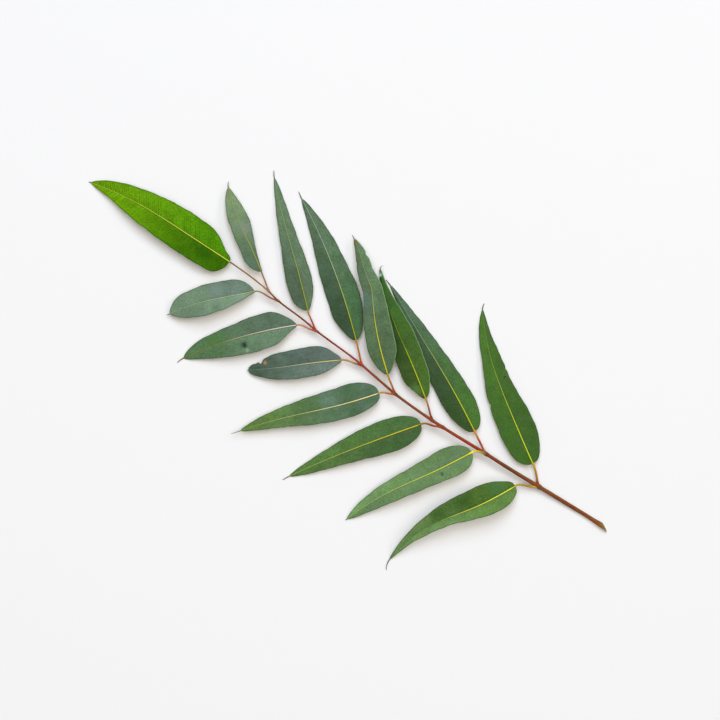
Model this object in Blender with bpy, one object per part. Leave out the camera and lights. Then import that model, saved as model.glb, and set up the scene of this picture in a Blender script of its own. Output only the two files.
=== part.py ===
"""A cut eucalyptus branch that lies flat: a thin reddish stem with seven pairs of leaves and one at its end.

Lengths in the tables are in millimetres and angles in degrees, seen from above. X runs along the stem
from the cut end to the tip, Y across it, Z up from the surface that the branch lies on.
"""

import math

import bmesh
import bpy
from mathutils import Vector

MM = 0.001

# The middle of the whole outline, measured from the cut end: the origin lies under it
MIDDLE = (232.5, 17.0)

# Blades
BLADE_THICKNESS = 0.75
RIB_THICKNESS = 1.35
RIB_HALF_WIDTH = 0.8
BLADE_END_HALF_WIDTH = 0.75
TAIL_HALF_WIDTH = 0.42
BLADE_ROWS = 18
TAIL_ROWS = 2
# How far out the grid's columns lie: the rib's edge, and then shares of the blade's half-width
RIB_MOST_SHARE = 0.3
SIDE_COLUMN = 0.56
TAIL_COLUMNS = (0, 0.3, 0.6, 1)
# Where the half-widths of a blade are given, as shares of its length from the base
STATIONS = (0.05, 0.15, 0.3, 0.5, 0.7, 0.9)
BASE_POWER = 0.45
TIP_POWER = 0.75
CROOK_PEAK = 2.33

# Stalks, each a little thicker where the stem is thick, and the gap between faces that meet
STALK_LEAST_RADIUS = 0.42
STALK_RADIUS_SHARE = 0.3
STALK_TAPER = 0.88
STALK_BENDS = 6
STALK_FOOT = 0.6
STALK_BEVEL_RESOLUTION = 2
FACE_GAP = 0.3

# Stem: x, y, height of the centre line and radius
STEM = (
    (-5, -1.2, 1.75, 2.0),
    (4, -0.8, 1.65, 1.9),
    (12, -0.4, 1.3, 1.52),
    (20, 0.0, 1.25, 1.46),
    (28, 0.6, 1.5, 1.5),
    (44, 1.7, 2.4, 1.49),
    (60, 2.9, 3.5, 1.48),
    (74, 4.0, 4.4, 1.44),
    (90, 5.0, 5.1, 1.37),
    (106, 5.8, 5.6, 1.29),
    (122, 6.9, 5.9, 1.22),
    (138, 8.0, 6.1, 1.18),
    (155, 8.7, 6.2, 1.11),
    (172, 8.9, 6.1, 1.02),
    (186, 8.6, 5.8, 1.02),
    (200, 7.4, 5.4, 0.96),
    (212, 6.2, 5.0, 0.93),
    (222, 5.2, 4.8, 0.86),
    (233, 4.7, 4.6, 0.74),
    (251, 4.5, 4.4, 0.72),
    (263, 4.2, 4.4, 0.72),
    (276, 3.1, 4.5, 0.68),
    (292, 2.8, 4.7, 0.68),
    (300, 2.3, 4.8, 0.66),
    (309, 0.8, 5.0, 0.64),
    (316, 0.2, 5.1, 0.62),
)
STEM_RING_SPACING = 7.0
STEM_BEVEL_RESOLUTION = 3
CUSHION_SIDES = 8
NODE_SWELLING = 0.32
NODE_LENGTH = 2.4
NODE_RINGS = (-1, -0.4, 0.4, 1)
NODE_CLEARANCE = 1.3
CUT_CENTRE = (1.4, -1.2, 2.0)
CUT_NORMAL = (-0.46, -0.88, 0.35)

# Leaf cushions: the short cones on the stem that the stalks stand on. A cushion points to its blade, but
# leans along the stem by at most so much for each millimetre outwards
CUSHION_OUT = 0.6
CUSHION_MOST_LEAN = 2.8
CUSHION_FLARE = 1.25

# Leaves. joint: where the stalk leaves the stem, as x. base: where the blade begins, with its height.
# bow and sway: how far the midrib bends to the left in a C and in an S. left and right: half-widths at
# STATIONS, seen from the base. tail: the thread-like tip and its turn. arch and tip: height of the
# midrib's hump and of its end. lift: rise of the left and right half for each millimetre outwards. Some
# leaves also state how their cushion points, with lean, along the stem, and rise, upwards, for each
# millimetre out, and how slender the blade's ends are, with base_power and tip_power. crook is a kink of
# one midrib: its place, its reach and how far it bends to the right and then to the left.
LEAVES = {
    "upper_1": dict(
        joint=59.5, base=(72.5, -8.7, 4.6), lean=0.8, heading=-36.6, length=121, bow=5.2, sway=-1.0,
        left=(9.9, 13.2, 13.7, 11.7, 7.0, 4.2), right=(8.4, 12.7, 13.1, 9.7, 7.5, 2.8),
        tail=5.3, tail_turn=-20, arch=1.6, tip=0.45, lift=(-0.04, -0.06), wave=0.5, colour="green",
    ),
    "upper_2": dict(
        joint=106, base=(122.4, -3.2, 5.4), heading=-24.7, length=126, bow=-1.2, sway=-0.5,
        left=(7.4, 11.7, 12.3, 9.6, 5.8, 2.3), right=(8.2, 11.2, 10.7, 8.8, 6.5, 2.9),
        tail=5.5, tail_turn=8, arch=0.2, tip=0.45, lift=(-0.10, -0.06), wave=0.4, colour="dark",
    ),
    "upper_3": dict(
        joint=153, base=(166.5, -2.0, 6.2), heading=-35.2, length=102.5, bow=2.9, sway=-1.2,
        left=(4.6, 9.8, 10.4, 7.8, 5.0, 2.2), right=(5.4, 9.0, 10.4, 11.0, 7.9, 2.7),
        tail=3.4, tail_turn=-42, arch=2.2, tip=4.2, lift=(-0.16, -0.04), wave=0.5,
        base_power=0.6, colour="fresh",
    ),
    "upper_4": dict(
        joint=187, base=(200.1, -0.1, 8.2), heading=-40.8, length=104.5, bow=-1.4, sway=1.7,
        left=(5.2, 8.8, 9.2, 7.1, 6.5, 3.1), right=(6.2, 11.3, 12.0, 10.2, 7.1, 4.5),
        tail=3.6, tail_turn=8, arch=6.4, tip=4.0, lift=(-0.03, -0.08), wave=0.6,
        base_power=0.7, crook=(0.69, 0.12, 0.95), colour="dark",
    ),
    "upper_5": dict(
        joint=220, base=(234.3, -7.4, 4.6), heading=-33.6, length=113.5, bow=-3.5, sway=0.0,
        left=(6.2, 11.4, 12.4, 11.4, 7.5, 3.2), right=(6.0, 10.2, 12.5, 10.5, 8.3, 4.0),
        tail=6.3, tail_turn=-5, arch=0.8, tip=0.45, lift=(-0.12, -0.10), wave=0.4,
        base_power=0.6, colour="dark",
    ),
    "upper_6": dict(
        joint=263.5, base=(276.6, -4.6, 4.8), heading=-40.3, length=102.5, bow=0.5, sway=-0.5,
        left=(7.3, 10.4, 10.3, 7.4, 4.8, 2.1), right=(4.0, 7.8, 8.6, 7.0, 5.2, 2.9),
        tail=6.1, tail_turn=-8, arch=1.6, tip=0.45, lift=(-0.08, -0.12), wave=0.4,
        base_power=0.7, colour="blue",
    ),
    "upper_7": dict(
        joint=308.5, base=(322.1, -8.2, 5.6), heading=-33.0, length=67.5, bow=1.5, sway=-0.8,
        left=(5.2, 8.2, 8.4, 7.8, 6.6, 3.7), right=(1.0, 1.8, 3.5, 7.2, 7.4, 3.7),
        tail=4.8, tail_turn=-14, arch=2.4, tip=3.0, lift=(0.05, -0.35), wave=0.4,
        base_power=0.7, colour="blue",
    ),
    "lower_1": dict(
        joint=58.5, base=(73.6, 12.8, 5.2), heading=65.8, length=108.5, bow=-5.3, sway=2.6,
        left=(7.4, 10.0, 8.8, 5.6, 4.5, 2.0), right=(7.4, 12.7, 14.2, 12.0, 7.0, 2.9),
        tail=9.0, tail_turn=22, arch=7.0, tip=0.6, lift=(0.42, 0.5), wave=0.4, colour="green",
    ),
    "lower_2": dict(
        joint=105, base=(114.9, 11.0, 7.4), rise=1.6, heading=63.7, length=106, bow=-2.5, sway=1.2,
        left=(8.3, 10.4, 9.4, 8.9, 7.7, 4.2), right=(8.5, 12.3, 11.6, 9.2, 7.0, 3.8),
        tail=1.6, tail_turn=8, arch=4.6, tip=0.6, lift=(-0.02, -0.08), wave=0.5,
        base_power=0.55, colour="pale",
    ),
    "lower_3": dict(
        joint=143.5, base=(158.1, 15.8, 6.4), heading=57.1, length=106, bow=-1.5, sway=0.1,
        left=(8.2, 12.1, 12.3, 9.8, 7.2, 3.8), right=(8.0, 11.5, 12.3, 10.4, 6.9, 3.2),
        tail=6.1, tail_turn=3, arch=2.0, tip=0.45, lift=(0.00, -0.08), wave=0.6, colour="green",
    ),
    "lower_4": dict(
        joint=187, base=(197.1, 15.0, 6.0), heading=50.6, length=107.5, bow=0.0, sway=0.9,
        left=(6.9, 10.0, 10.9, 9.8, 6.8, 3.3), right=(9.3, 13.2, 12.9, 11.0, 7.9, 4.0),
        tail=7.8, tail_turn=0, arch=1.0, tip=4.5, lift=(0.08, 0.04), wave=0.6, colour="pale",
    ),
    "lower_5": dict(
        joint=220, base=(234.5, 11.2, 4.8), heading=41.5, length=70.5, bow=0.2, sway=-0.4,
        left=(3.2, 7.3, 9.7, 10.1, 8.9, 5.3), right=(4.8, 10.2, 12.3, 11.6, 10.5, 5.4),
        tail=0.8, tail_turn=20, arch=2.4, tip=1.4, lift=(0.08, 0.03), wave=0.4,
        base_power=0.6, tip_power=0.5, colour="blue",
    ),
    "lower_6": dict(
        joint=262, base=(277.1, 9.3, 5.0), heading=51.5, length=88.5, bow=-3.1, sway=0.0,
        left=(3.5, 9.8, 13.3, 13.3, 10.4, 4.9), right=(5.6, 11.8, 12.9, 10.8, 9.0, 5.7),
        tail=6.1, tail_turn=12, arch=2.6, tip=0.5, lift=(0.10, 0.02), wave=0.5,
        base_power=0.8, colour="dark",
    ),
    "lower_7": dict(
        joint=298.5, base=(317.4, 7.1, 5.4), heading=50.0, length=66, bow=-2.1, sway=0.4,
        left=(1.9, 4.7, 7.6, 10.1, 9.9, 5.9), right=(5.9, 10.8, 12.0, 12.4, 11.1, 7.6),
        tail=2.5, tail_turn=-4, arch=2.0, tip=2.6, lift=(0.36, 0.04), wave=0.4,
        base_power=0.8, colour="blue",
    ),
    "terminal": dict(
        joint=316, base=(345.6, -0.3, 5.6), heading=5.6, length=120.5, bow=-3.5, sway=0.8,
        left=(12.8, 14.9, 15.4, 14.4, 11.1, 4.3), right=(4.9, 12.5, 15.1, 14.2, 11.1, 6.2),
        tail=1.8, tail_turn=6, arch=5.5, tip=0.5, lift=(-0.06, -0.10), wave=0.6, colour="young",
    ),
}
WAVES_ALONG_BLADE = 1.7
WAVE_START = {"left": 0.15, "right": 0.6}

COLOURS = {
    "young": (0.42, 0.55, 0.06),
    "fresh": (0.14, 0.33, 0.05),
    "green": (0.09, 0.24, 0.06),
    "dark": (0.06, 0.17, 0.06),
    "pale": (0.17, 0.30, 0.13),
    "blue": (0.14, 0.25, 0.17),
    "stem": (0.30, 0.06, 0.03),
    "stalk": (0.62, 0.30, 0.06),
}
BLADE_ROUGHNESS = 0.5
STEM_ROUGHNESS = 0.6
STALK_ROUGHNESS = 0.45
SMOOTH_ANGLE = math.radians(40)


def curve_value(places, values, at):
    """A smooth curve through values given at places, held level outside them."""
    if at <= places[0]:
        return values[0]
    if at >= places[-1]:
        return values[-1]
    last = len(places) - 1
    i = max(k for k in range(last) if places[k] <= at)

    def slope(k):
        before, after = max(k - 1, 0), min(k + 1, last)
        return (values[after] - values[before]) / (places[after] - places[before])

    step = places[i + 1] - places[i]
    t = (at - places[i]) / step
    rise = values[i + 1] - values[i]
    start = slope(i) * step
    end = slope(i + 1) * step
    return values[i] + t * start + t * t * (3 * rise - 2 * start - end) + t * t * t * (start + end - 2 * rise)


def stem_at(x):
    """Centre of the stem at x, and its radius, in millimetres."""
    places = [row[0] for row in STEM]
    y, z, radius = (curve_value(places, [row[k] for row in STEM], x) for k in (1, 2, 3))
    return Vector((x, y, z)), radius


def stem_direction(x):
    return (stem_at(x + 1)[0] - stem_at(x - 1)[0]).normalized()


def midrib(leaf, u):
    """Point of the midrib at the share u of the blade's length."""
    along = math.radians(leaf["heading"])
    forward = Vector((math.cos(along), math.sin(along), 0))
    left = Vector((-forward.y, forward.x, 0))
    hump = 4 * u * (1 - u)
    aside = leaf["bow"] * hump + leaf["sway"] * math.sin(2 * math.pi * u)
    if "crook" in leaf:
        place, reach, bend = leaf["crook"]
        beyond = (u - place) / reach
        aside += bend * CROOK_PEAK * beyond * math.exp(-(beyond**2))
    x, y, base_height = leaf["base"]
    height = base_height + (leaf["tip"] - base_height) * u + leaf["arch"] * hump
    return Vector((x, y, 0)) + forward * leaf["length"] * u + left * aside + Vector((0, 0, height))


def midrib_direction(leaf, u):
    step = 0.01
    return (midrib(leaf, min(u + step, 1)) - midrib(leaf, max(u - step, 0))).normalized()


def half_width(leaf, side, u):
    """Half-width of the blade at u on one side: a blunt base, a slender tip and measured widths between."""

    def body(v):
        return v ** leaf.get("base_power", BASE_POWER) * (1 - v) ** leaf.get("tip_power", TIP_POWER)

    def ends(v):
        return BLADE_END_HALF_WIDTH + (TAIL_HALF_WIDTH - BLADE_END_HALF_WIDTH) * v

    shares = [(width - ends(v)) / body(v) for v, width in zip(STATIONS, leaf[side])]
    return ends(u) + body(u) * curve_value(STATIONS, shares, u)


def blade_point(leaf, u, column):
    """Point of the blade's middle sheet. column runs from -3, the right edge, to 3, the left edge."""
    forward = midrib_direction(leaf, u)
    left = Vector((-forward.y, forward.x, 0)).normalized()
    side, sign = ("left", 1) if column > 0 else ("right", -1)
    width = half_width(leaf, side, u)
    out = (0, min(RIB_HALF_WIDTH, RIB_MOST_SHARE * width), SIDE_COLUMN * width, width)[abs(column)]
    lift = leaf["lift"][0 if side == "left" else 1]
    wave = leaf["wave"] * (out / width) ** 2 * math.sin(math.pi * u)
    rise = lift * out + wave * math.sin(2 * math.pi * (WAVES_ALONG_BLADE * u + WAVE_START[side]))
    return midrib(leaf, u) + left * sign * out + Vector((0, 0, rise))


def tail_point(leaf, share, column):
    """Point of the thread-like tip, at a share of the tail's length past the blade."""
    end = midrib(leaf, 1)
    forward = midrib_direction(leaf, 1)
    turn = math.atan2(forward.y, forward.x) + math.radians(leaf["tail_turn"]) * share
    forward = Vector((math.cos(turn), math.sin(turn), 0))
    left = Vector((-forward.y, forward.x, 0))
    spread = math.copysign(TAIL_COLUMNS[abs(column)], column)
    return end + forward * leaf["tail"] * share + left * spread * TAIL_HALF_WIDTH


def add_object(name, data, parent):
    obj = bpy.data.objects.new(name, data)
    bpy.context.scene.collection.objects.link(obj)
    obj.parent = parent
    return obj


def set_material(obj, colour, roughness):
    material = bpy.data.materials.new(obj.name)
    material.use_nodes = True
    shader = material.node_tree.nodes["Principled BSDF"]
    shader.inputs["Base Color"].default_value = (*COLOURS[colour], 1)
    shader.inputs["Roughness"].default_value = roughness
    shader.inputs["Metallic"].default_value = 0
    obj.data.materials.append(material)


def shade_round(mesh):
    mesh.shade_smooth()
    mesh.set_sharp_from_angle(angle=SMOOTH_ANGLE)


def make_blade(name, leaf, parent):
    """A grid moved to the blade's form and thickened, most along the midrib."""
    rows = BLADE_ROWS + TAIL_ROWS
    sheet = bmesh.new()
    bmesh.ops.create_grid(sheet, x_segments=rows, y_segments=6, size=1)
    rib = sheet.verts.layers.deform.verify()
    for vertex in sheet.verts:
        row = round((vertex.co.x + 1) / 2 * rows)
        column = round(vertex.co.y * 3)
        if row > BLADE_ROWS:
            place = tail_point(leaf, (row - BLADE_ROWS) / TAIL_ROWS, column)
            u = 1
        else:
            u = (1 - math.cos(math.pi * row / BLADE_ROWS)) / 2
            place = blade_point(leaf, u, column)
        vertex.co = place * MM
        vertex[rib][0] = (1 - u) if column == 0 else 0
    bmesh.ops.triangulate(sheet, faces=sheet.faces)
    mesh = bpy.data.meshes.new(name)
    sheet.to_mesh(mesh)
    sheet.free()
    mesh.shade_smooth()
    blade = add_object(name, mesh, parent)
    blade.vertex_groups.new(name="rib")
    thicken = blade.modifiers.new("Thickness", "SOLIDIFY")
    thicken.thickness = RIB_THICKNESS * MM
    thicken.offset = 0
    thicken.vertex_group = "rib"
    thicken.thickness_vertex_group = BLADE_THICKNESS / RIB_THICKNESS
    set_material(blade, leaf["colour"], BLADE_ROUGHNESS)


def make_tube(name, points, radii, parent, resolution=STALK_BEVEL_RESOLUTION):
    """A round rod through the points, which may taper."""
    curve = bpy.data.curves.new(name, "CURVE")
    curve.dimensions = "3D"
    curve.bevel_depth = MM
    curve.bevel_resolution = resolution
    curve.use_fill_caps = True
    spline = curve.splines.new("POLY")
    spline.points.add(len(points) - 1)
    for control, point, radius in zip(spline.points, points, radii):
        control.co = (*(point * MM), 1)
        control.radius = radius
    spline.use_smooth = True
    return add_object(name, curve, parent)


def stalk_radius(leaf):
    return STALK_LEAST_RADIUS + STALK_RADIUS_SHARE * stem_at(leaf["joint"])[1]


def cushion_end(leaf):
    """Where the leaf cushion ends, and the direction that it points in."""
    joint, radius = stem_at(leaf["joint"])
    chord = Vector(leaf["base"]) - joint
    along = stem_direction(leaf["joint"])
    outward = chord - along * chord.dot(along)
    lean = leaf.get("lean", min(chord.dot(along) / outward.length, CUSHION_MOST_LEAN))
    outward = (outward.normalized() + Vector((0, 0, leaf.get("rise", 0)))).normalized()
    direction = (outward + along * lean).normalized()
    reach = radius * (1 + NODE_SWELLING) + CUSHION_OUT
    return joint + direction * (reach / direction.dot(outward)), direction


def make_stalk(name, leaf, parent):
    """A thin stalk that bends from its leaf cushion to the base of its blade, straight at both ends."""
    if name == "stalk_terminal":
        x = STEM[-1][0]
        start, away = stem_at(x)[0], stem_direction(x - 1)
    else:
        start, away = cushion_end(leaf)
    into = midrib_direction(leaf, 0)
    face = start + away * FACE_GAP
    end = midrib(leaf, 0) - into * FACE_GAP
    first = face + away * STALK_FOOT
    last = end - into * STALK_FOOT
    reach = (last - first).length / 3
    points = [face]
    for k in range(STALK_BENDS + 1):
        t = k / STALK_BENDS
        corners = (first, first + away * reach, last - into * reach, last)
        weights = ((1 - t) ** 3, 3 * t * (1 - t) ** 2, 3 * t * t * (1 - t), t**3)
        points.append(sum((c * w for c, w in zip(corners, weights)), Vector()))
    points.append(end)
    thick = stalk_radius(leaf)
    steps = [k / (len(points) - 1) for k in range(len(points))]
    radii = [thick * (1 + (STALK_TAPER - 1) * t) for t in steps]
    stalk = make_tube(name, points, radii, parent)
    set_material(stalk, "stalk", STALK_ROUGHNESS)


def stem_rings():
    """Places of the stem's rings: evenly spread, and closer together at each node."""
    nodes = sorted({leaf["joint"] for leaf in LEAVES.values()} - {STEM[-1][0]})
    first, last = STEM[0][0], STEM[-1][0]
    count = round((last - first) / STEM_RING_SPACING)
    places = [first + (last - first) * k / count for k in range(count + 1)]
    room = NODE_CLEARANCE * NODE_LENGTH
    between = [x for x in places[1:-1] if all(abs(x - node) > room for node in nodes)]
    near = [node + NODE_LENGTH * offset for node in nodes for offset in NODE_RINGS]
    return sorted([first, last] + between + near), nodes


def slice_off(shape, point, normal):
    """Cuts away what lies beyond a plane and closes the cut with one flat face."""
    cut = bmesh.ops.bisect_plane(
        shape,
        geom=shape.verts[:] + shape.edges[:] + shape.faces[:],
        plane_co=Vector(point) * MM,
        plane_no=Vector(normal),
        clear_outer=True,
    )
    edges = [item for item in cut["geom_cut"] if isinstance(item, bmesh.types.BMEdge)]
    bmesh.ops.edgeloop_fill(shape, edges=edges)


def make_cushions(stem):
    """A short cone for each side leaf, sunk to the stem's middle, in a collection of their own."""
    group = bpy.data.collections.new("cushions")
    for name, leaf in LEAVES.items():
        if name == "terminal":
            continue
        end, direction = cushion_end(leaf)
        joint = stem_at(leaf["joint"])[0]
        shape = bmesh.new()
        bmesh.ops.create_cone(
            shape,
            cap_ends=True,
            segments=CUSHION_SIDES,
            radius1=stalk_radius(leaf) * CUSHION_FLARE**2 * MM,
            radius2=stalk_radius(leaf) * CUSHION_FLARE * MM,
            depth=(end - joint).length * MM,
        )
        mesh = bpy.data.meshes.new("cushion")
        shape.to_mesh(mesh)
        shape.free()
        cone = bpy.data.objects.new("cushion_" + name, mesh)
        cone.rotation_euler = direction.to_track_quat("Z", "Y").to_euler()
        cone.location = (joint + end) / 2 * MM
        cone.parent = stem.parent
        cone.hide_render = True
        group.objects.link(cone)
    bpy.context.scene.collection.children.link(group)
    return group


def make_stem(parent):
    """The tapered stem with its swollen nodes and cushions, a slanting cut and a small flat underneath."""
    places, nodes = stem_rings()
    points = []
    radii = []
    for x in places:
        centre, radius = stem_at(x)
        nearest = min(abs(x - node) for node in nodes)
        points.append(centre)
        radii.append(radius * (1 + NODE_SWELLING * math.exp(-((nearest / NODE_LENGTH) ** 2) * 2)))
    rod = make_tube("rod", points, radii, parent, STEM_BEVEL_RESOLUTION)
    graph = bpy.context.evaluated_depsgraph_get()
    mesh = bpy.data.meshes.new_from_object(rod.evaluated_get(graph))
    bpy.data.objects.remove(rod)
    mesh.name = "stem"
    shape = bmesh.new()
    shape.from_mesh(mesh)
    bmesh.ops.remove_doubles(shape, verts=shape.verts, dist=0.001 * MM)
    slice_off(shape, CUT_CENTRE, CUT_NORMAL)
    slice_off(shape, (0, 0, 0), (0, 0, -1))
    bmesh.ops.recalc_face_normals(shape, faces=shape.faces)
    shape.to_mesh(mesh)
    shape.free()
    stem = add_object("stem", mesh, parent)
    group = make_cushions(stem)
    union = stem.modifiers.new("Cushions", "BOOLEAN")
    union.operation = "UNION"
    union.operand_type = "COLLECTION"
    union.collection = group
    union.solver = "EXACT"
    bpy.context.view_layer.objects.active = stem
    bpy.ops.object.modifier_apply(modifier=union.name)
    for cone in list(group.objects):
        bpy.data.objects.remove(cone)
    bpy.data.collections.remove(group)
    stem.data.materials.clear()
    set_material(stem, "stem", STEM_ROUGHNESS)
    shade_round(stem.data)


def main():
    for obj in list(bpy.data.objects):
        bpy.data.objects.remove(obj)
    branch = add_object("branch", None, None)
    branch.location = (-MIDDLE[0] * MM, -MIDDLE[1] * MM, 0)
    make_stem(branch)
    for name, leaf in LEAVES.items():
        make_stalk("stalk_" + name, leaf, branch)
        make_blade("leaf_" + name, leaf, branch)


main()
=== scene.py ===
# %% [markdown]
# # A cut eucalyptus branch that lies on a table
#
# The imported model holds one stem, fifteen leaf stalks and fifteen leaf blades, all at their real size.
# In this lesson each of them gets a finer piece of the same form: blades with raised midribs, side veins
# and worn margins, stalks that turn from red to yellow, and a stem with bark, nodes and a slanting cut.
# Then every surface gets a finish made of shader nodes, and a camera looks straight down on the branch.

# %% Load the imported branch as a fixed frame
import math

import bmesh
import bpy
import numpy as np
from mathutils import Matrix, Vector


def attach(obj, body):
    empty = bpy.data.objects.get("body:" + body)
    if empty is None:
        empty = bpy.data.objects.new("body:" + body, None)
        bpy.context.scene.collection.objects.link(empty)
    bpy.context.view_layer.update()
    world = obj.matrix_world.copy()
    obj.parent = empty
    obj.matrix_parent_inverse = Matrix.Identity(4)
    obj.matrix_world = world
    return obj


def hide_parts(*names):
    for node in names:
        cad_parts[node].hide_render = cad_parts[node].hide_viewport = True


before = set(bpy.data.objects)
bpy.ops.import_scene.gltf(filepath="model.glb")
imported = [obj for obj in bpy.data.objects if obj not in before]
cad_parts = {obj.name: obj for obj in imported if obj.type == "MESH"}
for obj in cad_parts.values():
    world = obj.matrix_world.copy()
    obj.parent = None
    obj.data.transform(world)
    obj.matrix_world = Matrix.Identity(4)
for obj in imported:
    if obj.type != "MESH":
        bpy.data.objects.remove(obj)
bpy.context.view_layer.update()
print("pieces of the packed branch:", len(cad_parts))

# %% [markdown]
# ## The measures of the branch
#
# All lengths in these tables are millimetres and all angles are degrees, seen from above. X runs along
# the stem from the cut end, Y across it and Z up. They are the values that the CAD pieces were made
# from, so whatever is made from them here lies in the same place. The origin of the scene is under the
# middle of the outline, which `MIDDLE` gives in these measures.

# %% The stem's path: x, y, height of its centre and radius
MM = 0.001
MIDDLE = np.array([232.5, 17.0, 0.0])
STEM = np.array([
    (-5, -1.2, 1.75, 2.0),
    (4, -0.8, 1.65, 1.9),
    (12, -0.4, 1.3, 1.52),
    (20, 0.0, 1.25, 1.46),
    (28, 0.6, 1.5, 1.5),
    (44, 1.7, 2.4, 1.49),
    (60, 2.9, 3.5, 1.48),
    (74, 4.0, 4.4, 1.44),
    (90, 5.0, 5.1, 1.37),
    (106, 5.8, 5.6, 1.29),
    (122, 6.9, 5.9, 1.22),
    (138, 8.0, 6.1, 1.18),
    (155, 8.7, 6.2, 1.11),
    (172, 8.9, 6.1, 1.02),
    (186, 8.6, 5.8, 1.02),
    (200, 7.4, 5.4, 0.96),
    (212, 6.2, 5.0, 0.93),
    (222, 5.2, 4.8, 0.86),
    (233, 4.7, 4.6, 0.74),
    (251, 4.5, 4.4, 0.72),
    (263, 4.2, 4.4, 0.72),
    (276, 3.1, 4.5, 0.68),
    (292, 2.8, 4.7, 0.68),
    (300, 2.3, 4.8, 0.66),
    (309, 0.8, 5.0, 0.64),
    (316, 0.2, 5.1, 0.62),
])
CUT_CENTRE = (1.4, -1.2, 2.0)
CUT_NORMAL = (-0.46, -0.88, 0.35)
NODE_SWELLING = 0.32
NODE_LENGTH = 2.4
print("stem:", STEM[-1, 0] - STEM[0, 0], "mm long before the cut")

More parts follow.
